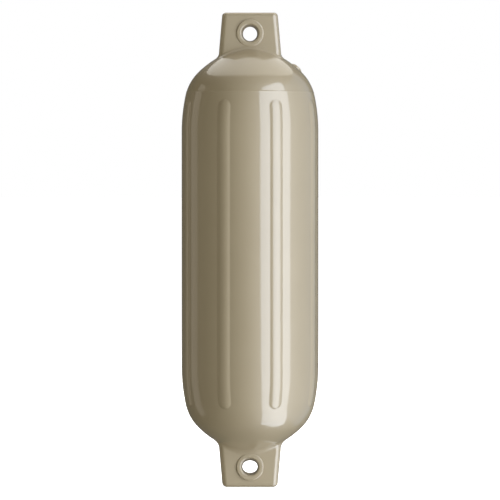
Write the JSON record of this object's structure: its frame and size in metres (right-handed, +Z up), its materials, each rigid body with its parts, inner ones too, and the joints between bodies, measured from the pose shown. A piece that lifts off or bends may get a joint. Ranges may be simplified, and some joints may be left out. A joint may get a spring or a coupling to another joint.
{
  "type": "boat fender",
  "caption": "Inflatable ribbed boat fender: a long domed vinyl cylinder with a rope eye moulded on each end and a plugged air valve.",
  "frame": {"origin": "middle of the lower eye's flat end, at the object's base", "axes": "+Z up along the fender's long axis, from the lower eye to the upper one; -Y is the front; the rope eyes run along Y and the valve is on the +X side of the upper dome"},
  "size_m": [0.14, 0.14, 0.4859],
  "materials": {
    "sand_vinyl": "glossy moulded",
    "plug_nylon": "satin moulded"
  },
  "bodies": {
    "root": {"fender_body": "sand_vinyl", "valve_plug": "plug_nylon"}
  },
  "joints": []
}
